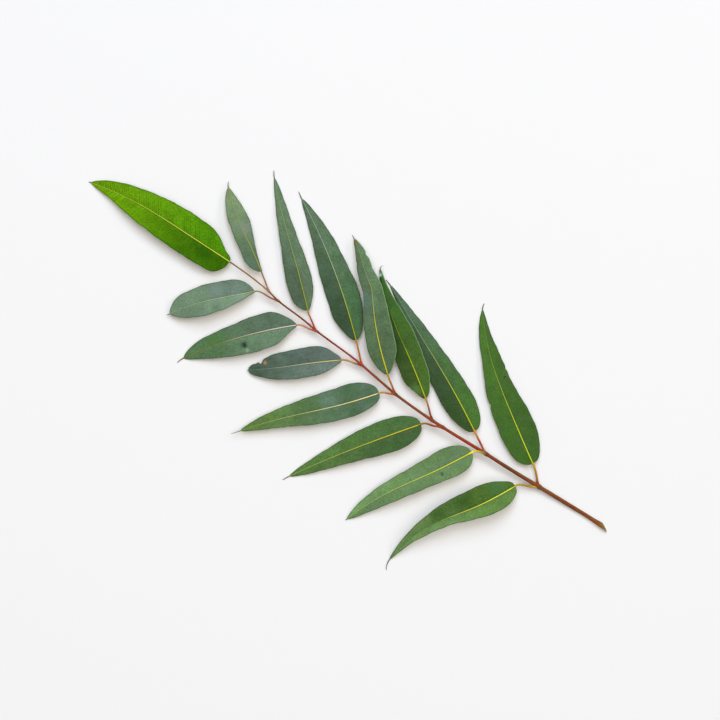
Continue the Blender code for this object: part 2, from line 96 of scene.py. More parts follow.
# %% The leaves
# joint: x on the stem where the stalk leaves it. base: where the blade begins. bow and sway: bends of the
# midrib. left and right: half-widths at STATIONS, seen from the base. tail: the thread-like tip and its
# turn. arch and tip: height of the midrib's hump and of its end. lift: rise of each half for each
# millimetre outwards. lean and rise: how the leaf cushion on the stem points. base_power and tip_power:
# how slender the blade's ends are. crook: a kink of one midrib, with its place, its reach and its bend.
STATIONS = (0.05, 0.15, 0.3, 0.5, 0.7, 0.9)
CROOK_PEAK = 2.33
LEAVES = {
    "upper_1": dict(
        joint=59.5, base=(72.5, -8.7, 4.6), lean=0.8, heading=-36.6, length=121, bow=5.2, sway=-1.0,
        left=(9.9, 13.2, 13.7, 11.7, 7.0, 4.2), right=(8.4, 12.7, 13.1, 9.7, 7.5, 2.8),
        tail=5.3, tail_turn=-20, arch=1.6, tip=0.45, lift=(-0.04, -0.06), wave=0.5,
    ),
    "upper_2": dict(
        joint=106, base=(122.4, -3.2, 5.4), heading=-24.7, length=126, bow=-1.2, sway=-0.5,
        left=(7.4, 11.7, 12.3, 9.6, 5.8, 2.3), right=(8.2, 11.2, 10.7, 8.8, 6.5, 2.9),
        tail=5.5, tail_turn=8, arch=0.2, tip=0.45, lift=(-0.10, -0.06), wave=0.4,
    ),
    "upper_3": dict(
        joint=153, base=(166.5, -2.0, 6.2), heading=-35.2, length=102.5, bow=2.9, sway=-1.2,
        left=(4.6, 9.8, 10.4, 7.8, 5.0, 2.2), right=(5.4, 9.0, 10.4, 11.0, 7.9, 2.7),
        tail=3.4, tail_turn=-42, arch=2.2, tip=4.2, lift=(-0.16, -0.04), wave=0.5,
        base_power=0.6,
    ),
    "upper_4": dict(
        joint=187, base=(200.1, -0.1, 8.2), heading=-40.8, length=104.5, bow=-1.4, sway=1.7,
        left=(5.2, 8.8, 9.2, 7.1, 6.5, 3.1), right=(6.2, 11.3, 12.0, 10.2, 7.1, 4.5),
        tail=3.6, tail_turn=8, arch=6.4, tip=4.0, lift=(-0.03, -0.08), wave=0.6,
        base_power=0.7, crook=(0.69, 0.12, 0.95),
    ),
    "upper_5": dict(
        joint=220, base=(234.3, -7.4, 4.6), heading=-33.6, length=113.5, bow=-3.5, sway=0.0,
        left=(6.2, 11.4, 12.4, 11.4, 7.5, 3.2), right=(6.0, 10.2, 12.5, 10.5, 8.3, 4.0),
        tail=6.3, tail_turn=-5, arch=0.8, tip=0.45, lift=(-0.12, -0.10), wave=0.4,
        base_power=0.6,
    ),
    "upper_6": dict(
        joint=263.5, base=(276.6, -4.6, 4.8), heading=-40.3, length=102.5, bow=0.5, sway=-0.5,
        left=(7.3, 10.4, 10.3, 7.4, 4.8, 2.1), right=(4.0, 7.8, 8.6, 7.0, 5.2, 2.9),
        tail=6.1, tail_turn=-8, arch=1.6, tip=0.45, lift=(-0.08, -0.12), wave=0.4,
        base_power=0.7,
    ),
    "upper_7": dict(
        joint=308.5, base=(322.1, -8.2, 5.6), heading=-33.0, length=67.5, bow=1.5, sway=-0.8,
        left=(5.2, 8.2, 8.4, 7.8, 6.6, 3.7), right=(1.0, 1.8, 3.5, 7.2, 7.4, 3.7),
        tail=4.8, tail_turn=-14, arch=2.4, tip=3.0, lift=(0.05, -0.35), wave=0.4,
        base_power=0.7,
    ),
    "lower_1": dict(
        joint=58.5, base=(73.6, 12.8, 5.2), heading=65.8, length=108.5, bow=-5.3, sway=2.6,
        left=(7.4, 10.0, 8.8, 5.6, 4.5, 2.0), right=(7.4, 12.7, 14.2, 12.0, 7.0, 2.9),
        tail=9.0, tail_turn=22, arch=7.0, tip=0.6, lift=(0.42, 0.5), wave=0.4,
    ),
    "lower_2": dict(
        joint=105, base=(114.9, 11.0, 7.4), rise=1.6, heading=63.7, length=106, bow=-2.5, sway=1.2,
        left=(8.3, 10.4, 9.4, 8.9, 7.7, 4.2), right=(8.5, 12.3, 11.6, 9.2, 7.0, 3.8),
        tail=1.6, tail_turn=8, arch=4.6, tip=0.6, lift=(-0.02, -0.08), wave=0.5,
        base_power=0.55,
    ),
    "lower_3": dict(
        joint=143.5, base=(158.1, 15.8, 6.4), heading=57.1, length=106, bow=-1.5, sway=0.1,
        left=(8.2, 12.1, 12.3, 9.8, 7.2, 3.8), right=(8.0, 11.5, 12.3, 10.4, 6.9, 3.2),
        tail=6.1, tail_turn=3, arch=2.0, tip=0.45, lift=(0.00, -0.08), wave=0.6,
    ),
    "lower_4": dict(
        joint=187, base=(197.1, 15.0, 6.0), heading=50.6, length=107.5, bow=0.0, sway=0.9,
        left=(6.9, 10.0, 10.9, 9.8, 6.8, 3.3), right=(9.3, 13.2, 12.9, 11.0, 7.9, 4.0),
        tail=7.8, tail_turn=0, arch=1.0, tip=4.5, lift=(0.08, 0.04), wave=0.6,
    ),
    "lower_5": dict(
        joint=220, base=(234.5, 11.2, 4.8), heading=41.5, length=70.5, bow=0.2, sway=-0.4,
        left=(3.2, 7.3, 9.7, 10.1, 8.9, 5.3), right=(4.8, 10.2, 12.3, 11.6, 10.5, 5.4),
        tail=0.8, tail_turn=20, arch=2.4, tip=1.4, lift=(0.08, 0.03), wave=0.4,
        base_power=0.6, tip_power=0.5,
    ),
    "lower_6": dict(
        joint=262, base=(277.1, 9.3, 5.0), heading=51.5, length=88.5, bow=-3.1, sway=0.0,
        left=(3.5, 9.8, 13.3, 13.3, 10.4, 4.9), right=(5.6, 11.8, 12.9, 10.8, 9.0, 5.7),
        tail=6.1, tail_turn=12, arch=2.6, tip=0.5, lift=(0.10, 0.02), wave=0.5,
        base_power=0.8,
    ),
    "lower_7": dict(
        joint=298.5, base=(317.4, 7.1, 5.4), heading=50.0, length=66, bow=-2.1, sway=0.4,
        left=(1.9, 4.7, 7.6, 10.1, 9.9, 5.9), right=(5.9, 10.8, 12.0, 12.4, 11.1, 7.6),
        tail=2.5, tail_turn=-4, arch=2.0, tip=2.6, lift=(0.36, 0.04), wave=0.4,
        base_power=0.8,
    ),
    "terminal": dict(
        joint=316, base=(345.6, -0.3, 5.6), heading=5.6, length=120.5, bow=-3.5, sway=0.8,
        left=(12.8, 14.9, 15.4, 14.4, 11.1, 4.3), right=(4.9, 12.5, 15.1, 14.2, 11.1, 6.2),
        tail=1.8, tail_turn=6, arch=5.5, tip=0.5, lift=(-0.06, -0.10), wave=0.6,
    ),
}
print("leaves:", len(LEAVES))

# %% [markdown]
# ## Curves through measured values
#
# A leaf's outline is measured at six stations and the stem at twenty-six. A smooth curve through such
# values needs no more than a cubic between each pair, with the slope at each value taken from its
# neighbours. Written for whole arrays at once, it moves ten thousand points in one call.

# %% The smooth curve, the stem and the midribs


def smooth_curve(places, values, at):
    """A smooth curve through values at places, held level outside them."""
    places = np.asarray(places, float)
    values = np.asarray(values, float)
    slope = np.empty(len(values))
    slope[1:-1] = (values[2:] - values[:-2]) / (places[2:] - places[:-2])
    slope[0] = (values[1] - values[0]) / (places[1] - places[0])
    slope[-1] = (values[-1] - values[-2]) / (places[-1] - places[-2])
    at = np.clip(at, places[0], places[-1])
    i = np.clip(np.searchsorted(places, at, side="right") - 1, 0, len(places) - 2)
    step = places[i + 1] - places[i]
    t = (at - places[i]) / step
    rise = values[i + 1] - values[i]
    start = slope[i] * step
    end = slope[i + 1] * step
    return values[i] + t * start + t**2 * (3 * rise - 2 * start - end) + t**3 * (start + end - 2 * rise)


def fade(value, low, high):
    """0 below low, 1 above high and a soft step between them."""
    t = np.clip((value - low) / (high - low), 0, 1)
    return t * t * (3 - 2 * t)


def stem_centre(x):
    """Points on the middle of the stem, in millimetres."""
    return np.stack([x, smooth_curve(STEM[:, 0], STEM[:, 1], x), smooth_curve(STEM[:, 0], STEM[:, 2], x)], -1)


def stem_radius(x):
    return smooth_curve(STEM[:, 0], STEM[:, 3], x)


def unit(vectors):
    return vectors / np.linalg.norm(vectors, axis=-1, keepdims=True)


def stem_direction(x):
    return unit(stem_centre(np.minimum(x + 1, STEM[-1, 0])) - stem_centre(np.maximum(x - 1, STEM[0, 0])))


def leftwards(direction):
    """Level directions to the left of each direction."""
    return unit(np.stack([-direction[:, 1], direction[:, 0], np.zeros(len(direction))], -1))


def midrib(leaf, share):
    """Points of a midrib at shares of the blade's length, in millimetres."""
    heading = math.radians(leaf["heading"])
    forward = np.array([math.cos(heading), math.sin(heading), 0])
    left = np.array([-forward[1], forward[0], 0])
    up = np.array([0, 0, 1])
    hump = 4 * share * (1 - share)
    aside = leaf["bow"] * hump + leaf["sway"] * np.sin(2 * np.pi * share)
    if "crook" in leaf:
        place, reach, bend = leaf["crook"]
        beyond = (share - place) / reach
        aside = aside + bend * CROOK_PEAK * beyond * np.exp(-(beyond**2))
    x, y, low = leaf["base"]
    height = low + (leaf["tip"] - low) * share + leaf["arch"] * hump
    along = leaf["length"] * share
    flat = np.array([x, y, 0]) + np.multiply.outer(along, forward) + np.multiply.outer(aside, left)
    return flat + np.multiply.outer(height, up)


def midrib_direction(leaf, share):
    step = 0.01
    return unit(midrib(leaf, np.minimum(share + step, 1)) - midrib(leaf, np.maximum(share - step, 0)))


sample = midrib(LEAVES["upper_2"], np.linspace(0, 1, 200))
print("upper_2's midrib:", round(float(np.linalg.norm(np.diff(sample, axis=0), axis=1).sum()), 1), "mm")

# %% [markdown]
# ## Helpers for pieces
#
# Each piece starts as a Blender primitive. An operator acts on everything that is selected, so all is
# deselected first. `place_points` moves a piece's points to the place that a formula gives and keeps the
# object itself at the origin, and `keep_values` stores numbers on every point that a finish can read,
# such as how far along the leaf it is.

# %% Selecting, placing and finishing


def deselect_all():
    for obj in bpy.context.selected_objects:
        obj.select_set(False)


def points_of(piece):
    places = np.empty(len(piece.data.vertices) * 3)
    piece.data.vertices.foreach_get("co", places)
    return places.reshape(-1, 3)


def place_points(piece, millimetres):
    """Moves the piece's points to places in the tables' millimetres."""
    piece.data.vertices.foreach_set("co", ((millimetres - MIDDLE) * MM).ravel())
    piece.data.update()


def keep_values(piece, **values):
    """Stores numbers for each point, under names that materials read."""
    for name, numbers in values.items():
        kept = piece.data.attributes.new(name, "FLOAT", "POINT")
        kept.data.foreach_set("value", np.ascontiguousarray(numbers, dtype=np.float32))


def weigh(piece, name, weights):
    """A vertex group with a weight for each point, for a modifier."""
    group = piece.vertex_groups.new(name=name)
    for index, weight in enumerate(weights):
        group.add([index], float(weight), "REPLACE")


def apply_modifiers(piece):
    bpy.context.view_layer.objects.active = piece
    for modifier in list(piece.modifiers):
        bpy.ops.object.modifier_apply(modifier=modifier.name)
    piece.vertex_groups.clear()


def dress(piece, name, node, slot, *finishes):
    """Names a piece, gives it its finishes and lets it stand for its CAD node."""
    piece.name = name
    piece.data.name = name
    piece.data.materials.clear()
    for finish in finishes:
        piece.data.materials.append(finish)
    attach(piece, "root")
    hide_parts(node)


BUCKLES = bpy.data.textures.new("buckles", "CLOUDS")
BUCKLES.noise_scale = 0.013
BUCKLES.noise_depth = 1
print("buckles are about", BUCKLES.noise_scale * 1000, "mm across")

# %% [markdown]
# ## Camera, table and light
#
# The branch is seen from straight above. The camera hangs on the vertical over the middle of the view
# and is turned so that the stem runs up to the left. A long lens keeps the leaves from leaning outwards.
# Three soft panels light the branch: a cool one from the top of the view, a small warm one from its right
# and a wide one straight overhead. They and the sky fill the shadows, so the table stays nearly white.

# %% Camera
VIEW_WIDTH = 540.0
VIEW_CENTRE = np.array([223.2, 3.1, 5.0])
VIEW_TURN = math.radians(-144.6)
LENS = 80.0
SENSOR = 36.0
VIEW_RIGHT = np.array([math.cos(VIEW_TURN), math.sin(VIEW_TURN), 0])
VIEW_UP = np.array([-math.sin(VIEW_TURN), math.cos(VIEW_TURN), 0])

distance = VIEW_WIDTH * LENS / SENSOR
deselect_all()
bpy.ops.object.camera_add(
    location=(VIEW_CENTRE - MIDDLE + np.array([0, 0, distance])) * MM, rotation=(0, 0, VIEW_TURN)
)
camera = bpy.context.object
camera.name = "camera"
camera.data.lens = LENS
camera.data.sensor_width = SENSOR
bpy.context.scene.camera = camera
print("camera height:", round(camera.location.z, 3), "m")

# %% Table and light
TABLE_WHITE = (0.80, 0.80, 0.805, 1)
TABLE_ROUGHNESS = 0.9
TABLE_SIZE = 16.0
SKY_COLOUR = (1.0, 0.945, 0.83, 1)
SKY_STRENGTH = 0.22
# Each panel: place beside the middle of the view and height (m), size (m), power (W) and colour
PANELS = {
    "cool_panel": (VIEW_UP * 5.0 + VIEW_RIGHT * 0.2, 5.6, 4.2, 340.0, (0.77, 0.85, 1.0)),
    "warm_panel": (VIEW_RIGHT * 5.0 + VIEW_UP * 1.5, 4.0, 1.8, 83.0, (1.0, 0.93, 0.84)),
    "overhead_panel": (VIEW_UP * 0.3, 4.0, 4.0, 109.0, (1.0, 0.975, 0.93)),
}

deselect_all()
bpy.ops.mesh.primitive_plane_add(size=TABLE_SIZE)
table = bpy.context.object
table.name = "table"
paper = bpy.data.materials.new("white_table")
paper.use_nodes = True
surface = paper.node_tree.nodes["Principled BSDF"].inputs
surface["Base Color"].default_value = TABLE_WHITE
surface["Roughness"].default_value = TABLE_ROUGHNESS
table.data.materials.append(paper)

for name, (aside, height, size, power, colour) in PANELS.items():
    place = Vector(aside + np.array([0, 0, height]))
    bpy.ops.object.light_add(type="AREA", location=place)
    panel = bpy.context.object
    panel.name = name
    panel.rotation_euler = place.to_track_quat("Z", "Y").to_euler()
    panel.data.size = size
    panel.data.energy = power
    panel.data.color = colour
    panel.select_set(False)

sky = bpy.data.worlds.new("sky")
sky.use_nodes = True
glow = sky.node_tree.nodes["Background"].inputs
glow["Color"].default_value = SKY_COLOUR
glow["Strength"].default_value = SKY_STRENGTH
bpy.context.scene.world = sky
bpy.context.scene.view_settings.view_transform = "Standard"
print("lights:", ", ".join(PANELS))

# %% [markdown]
# ## Building finishes from nodes
#
# A finish is a small network of nodes. Two helpers keep the cells short: `feed` gives a socket either a
# plain value or a link, and `step` adds one calculation. Effects that several finishes share, such as
# veins, bloom and specks, are node groups with named inputs. A group only gives out numbers, such as
# masks and heights; the colours and the shader itself stay in each material.

# %% Helpers for nodes
def tint(code):
    """A colour from its six-figure sRGB code, as the shader needs it."""
    channels = [int(code[i:i + 2], 16) / 255 for i in (0, 2, 4)]
    return (*[c / 12.92 if c <= 0.04045 else ((c + 0.055) / 1.055) ** 2.4 for c in channels], 1)


def feed(tree, socket, value):
    """Gives a socket a link or a plain value."""
    if isinstance(value, bpy.types.NodeSocket):
        tree.links.new(value, socket)
    else:
        socket.default_value = value


def fill(tree, sockets, **values):
    """Feeds sockets by their names; an underscore in a name stands for a space."""
    for name, value in values.items():
        feed(tree, sockets[name.replace("_", " ")], value)


def add_node(tree, kind, **values):
    node = tree.nodes.new("ShaderNode" + kind)
    fill(tree, node.inputs, **values)
    return node


def step(tree, operation, *values):
    """One calculation on numbers."""
    node = add_node(tree, "Math")
    node.operation = operation
    for socket, value in zip(node.inputs, values):
        feed(tree, socket, value)
    return node.outputs[0]


def times(tree, first, second):
    return step(tree, "MULTIPLY", first, second)


def between(tree, value, low, high, to_low=0.0, to_high=1.0):
    """Carries a number from one range to another, softly and held at the ends."""
    node = add_node(tree, "MapRange", Value=value, From_Min=low, From_Max=high, To_Min=to_low, To_Max=to_high)
    node.interpolation_type = "SMOOTHSTEP"
    return node.outputs["Result"]


def blend(tree, share, first, second, kind="MIX"):
    """Mixes two colours."""
    node = add_node(tree, "Mix", Factor=share)
    node.data_type = "RGBA"
    node.blend_type = kind
    for socket, value in zip([s for s in node.inputs if s.type == "RGBA"], (first, second)):
        feed(tree, socket, value)
    return next(s for s in node.outputs if s.type == "RGBA")


def lay_over(tree, colour, mask, strength, code):
    """Lays a tint over a colour where a mask is, with a strength of 0 to 1."""
    return blend(tree, times(tree, mask, strength), colour, tint(code))


def read(tree, name):
    """Reads a number that keep_values stored."""
    node = add_node(tree, "Attribute")
    node.attribute_name = name
    return node.outputs["Fac"]


def spot_of(tree, x, y, z=0.0):
    """Joins three numbers to a place for a pattern."""
    return add_node(tree, "CombineXYZ", X=x, Y=y, Z=z).outputs[0]


def noise(tree, place, scale, detail=2.0, roughness=0.5):
    node = add_node(tree, "TexNoise", Vector=place, Scale=scale, Detail=detail, Roughness=roughness)
    return node.outputs["Fac"]


def relief(tree, height, strength, depth):
    """Bends the light on a surface by a height that is depth metres deep."""
    return add_node(tree, "Bump", Strength=strength, Distance=depth, Height=height).outputs["Normal"]


def new_finish(name):
    """A finish, its network and the sockets of its shader."""
    finish = bpy.data.materials.new(name)
    finish.use_nodes = True
    return finish, finish.node_tree, finish.node_tree.nodes["Principled BSDF"].inputs


def new_group(name, inputs, outputs):
    """An empty node group of plain numbers: its inputs with their values, and the names of its outputs."""
    tree = bpy.data.node_groups.new(name, "ShaderNodeTree")
    for label, value in inputs.items():
        socket = tree.interface.new_socket(label, in_out="INPUT", socket_type="NodeSocketFloat")
        socket.default_value = value
    for label in outputs:
        tree.interface.new_socket(label, in_out="OUTPUT", socket_type="NodeSocketFloat")
    return tree, tree.nodes.new("NodeGroupInput").outputs, tree.nodes.new("NodeGroupOutput").inputs


def use_group(tree, group, **values):
    node = add_node(tree, "Group")
    node.node_tree = group
    fill(tree, node.inputs, **values)
    return node.outputs


print("a leaf green as the shader sees it:", [round(c, 3) for c in tint("47701F")])

# %% [markdown]
# ## Side veins
#
# On these leaves dozens of fine side veins leave the midrib at about sixty degrees and run nearly straight
# to the margin, where a thin vein follows the edge. A line pattern could be ruled in the shader, but then
# the veins of the mesh and those of the colour would part. So `make_blade` gives each point its vein
# number: 4.0 is on the fourth vein and 4.5 half way to the next. The group turns that number into lines
# of uneven strength, and a stretched cell pattern draws the fine net between them.

# %% The side vein group
VEIN_SPACING = 1.7
VEIN_EDGE = 0.42

group, given, result = new_group("side veins", {"Seed": 0.0}, ["Veins", "Net", "Height"])
number = read(group, "vein")
across = read(group, "across")
rim = read(group, "rim")
side = step(group, "SIGN", across)
away = times(group, step(group, "PINGPONG", number, 0.5), VEIN_SPACING)
nearest = step(group, "ROUND", number)
strength = noise(group, spot_of(group, nearest, side, given["Seed"]), 3.7, 0.0)
line = between(group, away, 0.05, VEIN_EDGE, 1.0, 0.0)
line = times(group, line, between(group, strength, 0.35, 0.65, 0.25, 1.0))
line = times(group, line, between(group, step(group, "ABSOLUTE", across), 2.0, 10.0, 1.0, 0.5))
from_edge_vein = step(group, "ABSOLUTE", step(group, "SUBTRACT", rim, 0.9))
edge_vein = between(group, from_edge_vein, 0.04, 0.22, 0.7, 0.0)
veins = step(group, "MAXIMUM", times(group, line, between(group, rim, 0.5, 1.3)), edge_vein)
place = spot_of(group, times(group, number, VEIN_SPACING), times(group, across, 0.8))
cells = add_node(group, "TexVoronoi", Vector=place, Scale=1.3)
cells.feature = "DISTANCE_TO_EDGE"
net = between(group, cells.outputs["Distance"], 0.02, 0.16, 1.0, 0.0)
fill(group, result, Veins=veins, Net=net, Height=step(group, "ADD", veins, times(group, net, 0.3)))
SIDE_VEINS = group
print("side veins every", VEIN_SPACING, "mm")

# %% [markdown]
# ## Midrib, painted shade, bloom, specks, blemishes and painted light
#
# The midrib is a pale yellow cord that thins towards the tip, and beside it lies a painted shade for the
# shade of the gutter along it. Bloom is the greyish wax film of eucalyptus leaves: it lies in soft
# patches, thicker near the base, and is rubbed off in thin streaks. Specks are the tiny brown dots of old
# insect bites. Larger marks at known places are some blemishes and some patches of painted sheen and shade.

# %% Groups for midrib and its painted shade, bloom, specks, blemishes and painted light
RIB_WIDTH = 0.4
SPECK_SCALE = 0.22

group, given, result = new_group("midrib", {"Base Width": RIB_WIDTH, "Tip Width": 0.13}, ["Rib", "Beside"])
width = between(group, read(group, "share"), 0.0, 1.0, given["Base Width"], given["Tip Width"])
widths_out = step(group, "DIVIDE", step(group, "ABSOLUTE", read(group, "across")), width)
rib = between(group, widths_out, 0.6, 1.1, 1.0, 0.0)
# The second output is a painted shade along both sides of the midrib, for the shade of the gutter beside it.
fill(group, result, Rib=rib, Beside=between(group, widths_out, 1.2, 3.6, 1.0, 0.0))
MIDRIB_AND_SHADE = group

strengths = {"At Base": 0.4, "At Tip": 0.2, "Seed": 0.0}
group, given, result = new_group("wax bloom", strengths, ["Mask", "Mottle", "Grain"])
along = read(group, "along")
across = read(group, "across")
place = spot_of(group, along, across, given["Seed"])
amount = between(group, read(group, "share"), 0.0, 1.0, given["At Base"], given["At Tip"])
patches = noise(group, place, 0.085, 3.0, 0.6)
streaks = noise(group, spot_of(group, times(group, along, 0.16), across, given["Seed"]), 0.9, 3.0, 0.7)
film = step(group, "ADD", times(group, patches, 0.65), times(group, streaks, 0.35))
mask = times(group, between(group, film, 0.36, 0.64, 0.35, 1.15), amount)
mottle = noise(group, place, 0.12, 5.0, 0.62)
fill(group, result, Mask=mask, Mottle=mottle, Grain=noise(group, place, 0.85, 3.0, 0.75))
WAX_BLOOM = group

group, given, result = new_group("specks", {"Density": 0.1, "Size": 0.3, "Seed": 0.0}, ["Mask"])
place = spot_of(group, read(group, "along"), read(group, "across"), given["Seed"])
cells = add_node(group, "TexVoronoi", Vector=place, Scale=SPECK_SCALE)
away = step(group, "DIVIDE", cells.outputs["Distance"], SPECK_SCALE)
luck = step(group, "FRACT", times(group, cells.outputs["Color"], 7.0))
chosen = step(group, "LESS_THAN", luck, given["Density"])
dot = between(group, step(group, "DIVIDE", away, given["Size"]), 0.4, 1.0, 1.0, 0.0)
feed(group, result["Mask"], times(group, dot, chosen))
SPECKS = group

group, given, result = new_group("blemish_and_painted_light", {"Along": 0.0, "Across": 0.0, "Radius": 1.0}, ["Mask"])
dx = step(group, "SUBTRACT", read(group, "along"), given["Along"])
dy = step(group, "SUBTRACT", read(group, "across"), given["Across"])
away = step(group, "SQRT", step(group, "ADD", times(group, dx, dx), times(group, dy, dy)))
ragged = noise(group, spot_of(group, dx, dy, 3.3), 0.45, 3.0, 0.6)
reach = step(group, "ADD", step(group, "DIVIDE", away, given["Radius"]), times(group, ragged, 1.6))
feed(group, result["Mask"], between(group, reach, 0.8, 1.9, 1.0, 0.0))
BLEMISH_AND_PAINTED_LIGHT = group
print("groups:", ", ".join(g.name for g in bpy.data.node_groups))

# %% [markdown]
# ## How each leaf looks
#
# No two leaves have the same green. The end leaf is young and yellow green, those near the cut end are
# deep green, and the small ones near the tip carry the most bloom, which turns them blue grey. Each leaf
# has a tint at its base and one at its tip, a tint for the midrib at both ends, the strength of its
# bloom and of its veins, how matt it is and how brown its thread-like tip is. One half of a blade is
# painted lighter than the other, and by how much changes on the way to the tip. This is painted light and
# shade for the tilt of each half towards the lamps and for the shadow that a neighbouring leaf casts.

# %% Tints of the leaves
# bloom: strength at the base and at the tip. light: painted light and shade, the brightness of the left
# half near the base and near the tip; that of the right half is 2 minus this. What a row leaves out has a
# usual value in leaf_finish.
BLOOM_TINT = "6E867C"
VEIN_TINT = "8FA45C"
LOOKS = {
    "terminal": dict(
        base="457A03", tip="6B9E08", rib="C9D146", rib_tip="B7BC46", bloom=(0.0, 0.0), light=(0.75, 1.09),
        slot="leaf_young", rough=0.4, veins=0.8, vein_tint="265000", beside=0.5, gloss=0.02, tail="34500C",
    ),
    "upper_1": dict(
        base="315A04", tip="396407", rib="CBD62B", rib_tip="6D8A34", bloom=(0.05, 0.05), light=(1.07, 1.09),
        slot="leaf_green", rough=0.42,
    ),
    "upper_2": dict(
        base="2E550D", tip="3F5A40", rib="B9BE05", rib_tip="77906D", bloom=(0.05, 0.12), light=(0.64, 0.75),
        slot="leaf_dark", rough=0.45, tail="40200C",
    ),
    "upper_3": dict(
        base="34540B", tip="1F4A06", rib="BAC50F", rib_tip="2E5E0D", bloom=(0.03, 0.03), light=(0.75, 0.6),
        slot="leaf_fresh", rough=0.42, right_margin="86A878", tail="7A5A1C",
    ),
    "upper_4": dict(
        base="49633C", tip="4E6945", rib="D5CA11", rib_tip="8C9251", bloom=(0.15, 0.15), light=(1.0, 0.83),
        slot="leaf_dark", veins=0.06, right_margin="86A878", brown=1.0,
    ),
    "upper_5": dict(
        base="32552D", tip="4C6647", rib="A1A60F", rib_tip="9FB1A1", bloom=(0.12, 0.15), light=(0.6, 0.92),
        slot="leaf_dark", veins=0.06,
    ),
    "upper_6": dict(
        base="485D40", tip="5C7850", rib="8A9821", rib_tip="82996F", bloom=(0.25, 0.2), light=(0.77, 1.04),
        slot="leaf_blue", rough=0.5, veins=0.06,
    ),
    "upper_7": dict(
        base="445E3C", tip="748B5B", rib="989642", rib_tip="819649", bloom=(0.4, 0.25), light=(0.98, 0.97),
        slot="leaf_blue", rough=0.5, veins=0.06, brown=0.8,
    ),
    "lower_1": dict(
        base="4F7322", tip="6B8E51", rib="F2EE2E", rib_tip="839168", bloom=(0.08, 0.1), light=(1.12, 1.02),
        slot="leaf_green", rough=0.42, rib_width=0.62,
    ),
    "lower_2": dict(
        base="597A3E", tip="678D4D", rib="D5D521", rib_tip="ABC067", bloom=(0.25, 0.22), light=(1.1, 0.85),
        slot="leaf_pale", veins=0.08, brown=0.8,
    ),
    "lower_3": dict(
        base="375D23", tip="4E7230", rib="D5BF15", rib_tip="A4B650", bloom=(0.08, 0.05), light=(0.86, 0.91),
        slot="leaf_green", rough=0.45, tail="6A2C14",
    ),
    "lower_4": dict(
        base="33582D", tip="55782E", rib="FDE797", rib_tip="ACB075", bloom=(0.4, 0.06), light=(0.98, 0.95),
        slot="leaf_pale", veins=0.08, brown=0.8, tail="A06A24",
    ),
    "lower_5": dict(
        base="57665F", tip="2F4126", rib="D9C37B", rib_tip="8EA191", bloom=(0.4, 0.3), light=(1.22, 1.05),
        slot="leaf_blue", rough=0.52, veins=0.05,
    ),
    "lower_6": dict(
        base="4F6949", tip="4B6D44", rib="DFCCC1", rib_tip="9C770F", bloom=(0.42, 0.04), light=(1.26, 0.96),
        slot="leaf_dark", veins=0.07, tail="6A6A30",
    ),
    "lower_7": dict(
        base="678260", tip="67805E", rib="B3AB73", rib_tip="B4C98A", bloom=(0.6, 0.4), light=(1.32, 0.9),
        slot="leaf_blue", rough=0.52, veins=0.05, brown=0.8,
    ),
}
# Larger marks: leaf, place along the midrib and across it, radius (all mm), tint and strength. Some are
# blemishes, and some are painted sheen, painted highlight and painted shade.
BLEMISHES_AND_PAINTED_LIGHT = (
    ("lower_6", 41.6, 6.6, 3.3, "122A0E", 0.95),
    ("lower_6", 40.5, 11.0, 2.0, "8FA88C", 0.6),
    ("lower_6", 62.0, -4.5, 12.0, "3F6C1A", 0.5),
    # lower_7: painted sheen, two pale blue-grey patches near the base
    ("lower_7", 13.0, -4.0, 9.0, "8C9CA6", 0.2),
    ("lower_7", 28.0, -6.0, 10.0, "8C9CA6", 0.2),
    ("lower_7", 30.0, 7.0, 5.0, "3C6038", 0.4),
    # lower_1: painted sheen near the base and painted shade of the fold in the middle of the upper half
    ("lower_1", 12.0, -7.0, 11.0, "4E8450", 0.45),
    ("lower_1", 42.0, -8.5, 12.0, "1E4C02", 0.45),
    ("lower_1", 60.0, -6.5, 11.0, "1E4C02", 0.5),
    ("lower_2", 27.1, 4.2, 1.9, "2E4C1C", 0.8),
    # lower_4: painted sheen on the upper half
    ("lower_4", 38.0, -5.0, 10.0, "7C9C90", 0.3),
    ("lower_5", 57.2, -4.6, 1.8, "B8784C", 0.85),
    ("lower_5", 65.5, 0.5, 6.0, "2C4A34", 0.5),
    ("upper_1", 68.1, -5.6, 1.3, "1C3008", 0.9),
    # upper_3: a painted highlight on the curled tip, painted light near the base of the left half and the
    # painted shadow that upper_4 casts
    ("upper_3", 98.5, 1.2, 2.4, "A4C8B8", 0.8),
    ("upper_3", 8.0, 4.0, 7.0, "5A8038", 0.55),
    ("upper_3", 45.0, 6.5, 13.0, "1C4000", 0.6),
    ("upper_4", 102.8, 0.0, 2.6, "6A5628", 0.8),
    # upper_4: painted sheen on the left half
    ("upper_4", 56.0, 5.5, 10.0, "567E84", 0.22),
    # upper_7: painted sheen on the right half
    ("upper_7", 34.0, -3.0, 8.0, "8A8E8A", 0.3),
    ("terminal", 20.0, 5.5, 9.0, "1E4C00", 0.5),
)
BROWN_TIP = "3E2206"
SPECK_TINT = "3A2E14"
MARGIN_TINT = "22380E"
VEIN_DEPTH = 0.06 * MM
# Dark green of the fine vein net, and of the painted shade beside the midrib
NET_AND_SHADE_TINT = "16280C"
UNDER_TINT = "AA9C50"
print("leaf tints:", len(LOOKS))

